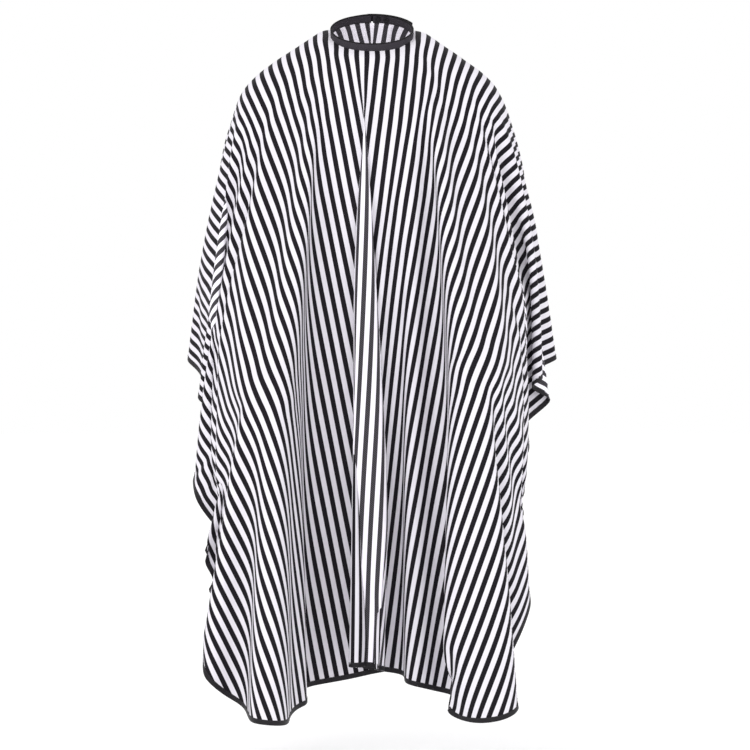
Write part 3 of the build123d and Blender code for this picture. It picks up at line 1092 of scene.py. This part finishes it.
@dataclass
class CurvedStrip:
    """A sewn strip that curves round the neck: a folded section with rolled edges.

    Radii and heights are in millimetres, angles in degrees.
    """

    name: str
    inner: float
    outer: float
    half_height: float
    start: float
    end: float
    steps: int = 180
    roll: float = 0.28
    groove: float = 0.22
    groove_line: float = 1.35  # in rolled widths from the edge
    rolled_width: float = 1.5
    corner: float = 0.0
    run_out: float = 0.0
    sew_start: float = 1.0

    def profile(self) -> list[tuple[float, float]]:
        """The section as shares: across the thickness from -1 to 1, and height in millimetres."""
        top, roll = self.half_height, self.rolled_width
        outside = [
            (1.0, 0.0), (1.0, 0.35 * top), (1.0, top - 2.6 * roll), (1.0, top - 1.75 * roll),
            (1.0 - self.groove, top - self.groove_line * roll), (1.0 + self.roll, top - 0.85 * roll),
            (1.0 + self.roll, top - 0.35 * roll), (0.62, top - 0.06 * roll), (0.0, top),
        ]
        upper = outside + [(-share, height) for share, height in outside[-2::-1]]
        lower = [(share, -height) for share, height in reversed(upper[1:-1])]
        return upper + lower

    def outer_at(self, angle: float) -> float:
        """The outer radius at an angle; a root runs out to a thin end."""
        share = (angle - self.start) / (self.end - self.start)
        return self.outer + (self.run_out - self.outer) * share if self.run_out else self.outer

    def height_share(self, angle: float) -> float:
        """How much of the height is left near the rounded free end."""
        if not self.corner:
            return 1.0
        left = math.radians(abs(self.end - angle)) * self.outer
        if left >= self.corner:
            return 1.0
        lost = self.corner - math.sqrt(max(self.corner ** 2 - (self.corner - left) ** 2, 0.0))
        return 1.0 - lost / self.half_height

    def angles(self) -> list[float]:
        """The sections' angles, closer together at the free end."""
        steps = [self.start + (self.end - self.start) * step / self.steps for step in range(self.steps + 1)]
        if self.corner:
            near = math.degrees(self.corner / self.outer) * math.copysign(1, self.end - self.start)
            steps = [angle for angle in steps if abs(self.end - angle) > abs(near)]
            steps += [self.end - near * share for share in (1.0, 0.75, 0.5, 0.25, 0.08, 0.0)]
        return steps

    def build(self) -> bpy.types.Object:
        """Make the strip, with its height kept for the finish."""
        sections, runs, heights = [], [], []
        for angle in self.angles():
            outer = self.outer_at(angle)
            middle, half = (outer + self.inner) / 2, (outer - self.inner) / 2
            share_left = self.height_share(angle)
            section = []
            for share, height in self.profile():
                section.append(neck_point((middle + share * half) * MM, angle, height * share_left * MM))
                heights.append(height * share_left * MM * BAND_HALF_HEIGHT / self.half_height)
            sections.append(section)
            runs.append(math.radians(angle - self.start) * self.outer * MM)
        strip = swept(self.name, sections, runs, closed=False)
        height = strip.data.attributes.new("height", "FLOAT", "POINT")
        height.data.foreach_set("value", heights)
        return strip

    def sew(self, seam: Seam, sides: tuple[int, ...] = (1, -1)) -> None:
        """Mark a row of stitches along both rolled edges.

        Args:
            seam: takes the stitches.
            sides: 1 for the outer face and -1 for the inner one.
        """
        edge = self.half_height - self.groove_line * self.rolled_width
        margin = math.degrees(self.sew_start / self.outer) * math.copysign(1, self.end - self.start)
        angles = [
            self.start + margin + (self.end - self.start - 2 * margin) * step / self.steps
            for step in range(self.steps + 1)
        ]
        for height in (edge, -edge):
            for side in sides:
                points, normals = [], []
                for angle in angles:
                    radius = self.outer_at(angle) if side > 0 else self.inner
                    sunk = self.groove * (self.outer_at(angle) - self.inner) / 2
                    points.append(neck_point((radius - side * sunk) * MM, angle, height * MM))
                    normals.append((neck_point(1, angle, 0) * side).normalized())
                seam.follow(points, normals)


@dataclass
class Neckband:
    """The closed band round the neck."""

    inner: float = 64.15
    outer: float = 66.4
    half_height: float = BAND_HALF_HEIGHT
    half_gap: float = 1.29

    def build(self, finishes: Finishes) -> bpy.types.Object:
        """Make the band and its stitches and dress them."""
        strip = CurvedStrip(
            "band_cloth", self.inner, self.outer, self.half_height, self.half_gap, 360 - self.half_gap
        )
        band = strip.build()
        dress(band, Slot.BAND, Body.CAPE, finishes.band)
        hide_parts("neckband")
        seam = Seam("band_stitches")
        strip.sew(seam)
        dress(seam.sew(), Slot.BAND, Body.CAPE, finishes.thread)
        return band


@dataclass
class ClosureTab:
    """The free end of the neckband, which folds at its root and laps over the other end."""

    inner: float = 69.2
    outer: float = 71.2
    half_height: float = 6.5
    hinge: float = -6.15
    end: float = 65.6
    root_near: float = -6.6
    root_far: float = -25.6
    root_inner: float = 66.3
    root_outer: float = 70.3
    root_edge: float = 67.1

    def build(self, finishes: Finishes) -> None:
        """Make the tab and its sewn-down root, with their stitches."""
        tab = CurvedStrip(
            "tab_cloth", self.inner, self.outer, self.half_height, self.hinge, self.end,
            steps=60, corner=1.3, rolled_width=1.2,
        )
        cloth = tab.build()
        dress(cloth, Slot.BAND, Body.TAB, finishes.band)
        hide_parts("closure_tab")
        seam = Seam("tab_stitches")
        tab.sew(seam)
        dress(seam.sew(), Slot.BAND, Body.TAB, finishes.thread)
        root = CurvedStrip(
            "root_cloth", self.root_inner, self.root_outer, self.half_height, self.root_near, self.root_far,
            steps=24, run_out=self.root_edge, rolled_width=1.2, roll=0.1, groove=0.1,
        )
        doubled = root.build()
        dress(doubled, Slot.BAND, Body.CAPE, finishes.band)
        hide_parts("tab_root")
        seam = Seam("root_stitches")
        root.sew(seam, sides=(1,))
        dress(seam.sew(), Slot.BAND, Body.CAPE, finishes.thread)


@dataclass
class Cape:
    """The cloth with its tapes."""

    cloth: CapeCloth = field(default_factory=CapeCloth)
    form: DressForm = field(default_factory=DressForm)

    def build(self, band: bpy.types.Object, finishes: Finishes) -> None:
        """Settle the cloth, bind its edges and dress it.

        Args:
            band: the neckband that the cloth hangs from; not used.
            finishes: the materials.
        """
        self.cloth.settle(self.form)
        sheet = self.cloth.build("cape_cloth")
        outer, slit_sides = self.cloth.edges(sheet)
        surface = BVHTree.FromObject(sheet, bpy.context.evaluated_depsgraph_get())
        pieces = []
        seam = Seam("hem_stitches")
        tape = FoldedTape("hem_tape").build(outer, surface, seam)
        dress(tape, Slot.TAPE, Body.CAPE, finishes.tape)
        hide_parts("hem_binding")
        stitches = seam.sew()
        dress(stitches, Slot.TAPE, Body.CAPE, finishes.thread)
        pieces += [tape, stitches]
        seam = Seam("slit_stitches")
        for edge, side in zip(slit_sides, ("right", "left")):
            tape = FoldedTape(f"slit_tape_{side}").build(edge, surface, seam)
            dress(tape, Slot.TAPE, Body.CAPE, finishes.tape)
            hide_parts(f"slit_binding_{side}")
            pieces.append(tape)
        stitches = seam.sew()
        dress(stitches, Slot.TAPE, Body.CAPE, finishes.thread)
        pieces.append(stitches)
        underlap = SlitUnderlap().build(self.cloth, sheet)
        for piece in (underlap, sheet):
            dress(piece, Slot.CLOTH, Body.CAPE, finishes.face, finishes.reverse)
            apply_modifier(
                piece, "SOLIDIFY", thickness=self.cloth.thickness, offset=-1.0, use_even_offset=False,
                material_offset=1,
            )
        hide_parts("cape_panel")


@dataclass
class Hardware:
    """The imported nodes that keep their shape: snaps and interlinings."""

    caps: tuple[str, ...] = ("snap_cap_", "stud_cap_")
    metal: tuple[str, ...] = ("snap_socket_", "snap_stud_")
    stiff: tuple[str, ...] = ("neckband_interlining", "tab_interlining")

    def dress(self, nodes: dict, finishes: Finishes) -> None:
        """Give each kept node its material.

        Args:
            nodes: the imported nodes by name.
            finishes: the materials.
        """
        for name, node in nodes.items():
            if name.startswith(self.caps):
                material = finishes.enamel
            elif name.startswith(self.metal):
                material = finishes.nickel
            elif name in self.stiff:
                material = finishes.interlining
            else:
                continue
            if not node.material_slots:
                node.data.materials.append(material)
            for material_slot in node.material_slots:
                material_slot.material = material
            LOG.info("%s keeps its packed shape", name)


# ---- studio ------------------------------------------------------------------------------


@dataclass
class Studio:
    """A pale floor, soft light and the camera."""

    floor_level: float = -1.152
    floor_size: float = 14.0
    eye: tuple[float, float, float] = (0.0, -8.0, -0.06)
    target: tuple[float, float, float] = (0.0048, 0.0, -0.547)
    lens: float = 240.0
    sensor: float = 36.0
    world: float = 1.0
    aim: tuple[float, float, float] = (0.0, 0.0, -0.5)
    lamps: tuple[tuple[str, tuple[float, float, float], float, float], ...] = (
        ("key_light", (-1.2, -2.4, 0.9), 16, 1.2),
        ("fill_light", (1.8, -2.2, 0.2), 4, 1.8),
    )

    def light(self, name: str, place: tuple[float, float, float], power: float, size: float) -> None:
        """Hang one soft square lamp that faces the cape, its power in watts, its size in metres."""
        lamp = bpy.data.lights.new(name, "AREA")
        lamp.energy, lamp.size = power, size
        obj = bpy.data.objects.new(name, lamp)
        bpy.context.scene.collection.objects.link(obj)
        obj.location = place
        obj.rotation_euler = (Vector(self.aim) - obj.location).to_track_quat("-Z", "Y").to_euler()

    def build(self) -> None:
        """Set up everything round the cape."""
        scene = bpy.context.scene
        bpy.ops.object.select_all(action="DESELECT")
        bpy.ops.mesh.primitive_grid_add(
            x_subdivisions=8, y_subdivisions=8, size=self.floor_size, location=(0, 0, self.floor_level)
        )
        floor = bpy.context.view_layer.objects.active
        floor.name = "studio_floor"
        floor.data.materials.append(PaintedFloor("matt_white_floor", roughness=0.9).make())
        world = bpy.data.worlds.new("studio_world")
        world.use_nodes = True
        background = world.node_tree.nodes["Background"]
        background.inputs["Color"].default_value = (1, 1, 1, 1)
        background.inputs["Strength"].default_value = self.world
        scene.world = world
        for lamp in self.lamps:
            self.light(*lamp)
        camera = bpy.data.cameras.new("camera")
        camera.sensor_width, camera.lens = self.sensor, self.lens
        obj = bpy.data.objects.new("camera", camera)
        scene.collection.objects.link(obj)
        obj.location = self.eye
        obj.rotation_euler = (Vector(self.target) - obj.location).to_track_quat("-Z", "Y").to_euler()
        scene.camera = obj
        scene.view_settings.view_transform = "Standard"


def main() -> None:
    """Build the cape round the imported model."""
    logging.basicConfig(level=logging.INFO, format="%(name)s: %(message)s")
    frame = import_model()
    Studio().build()
    finishes = Finishes.make()
    Hardware().dress(frame["nodes"], finishes)
    band = Neckband().build(finishes)
    ClosureTab().build(finishes)
    Cape().build(band, finishes)


if __name__ == "__main__":
    main()
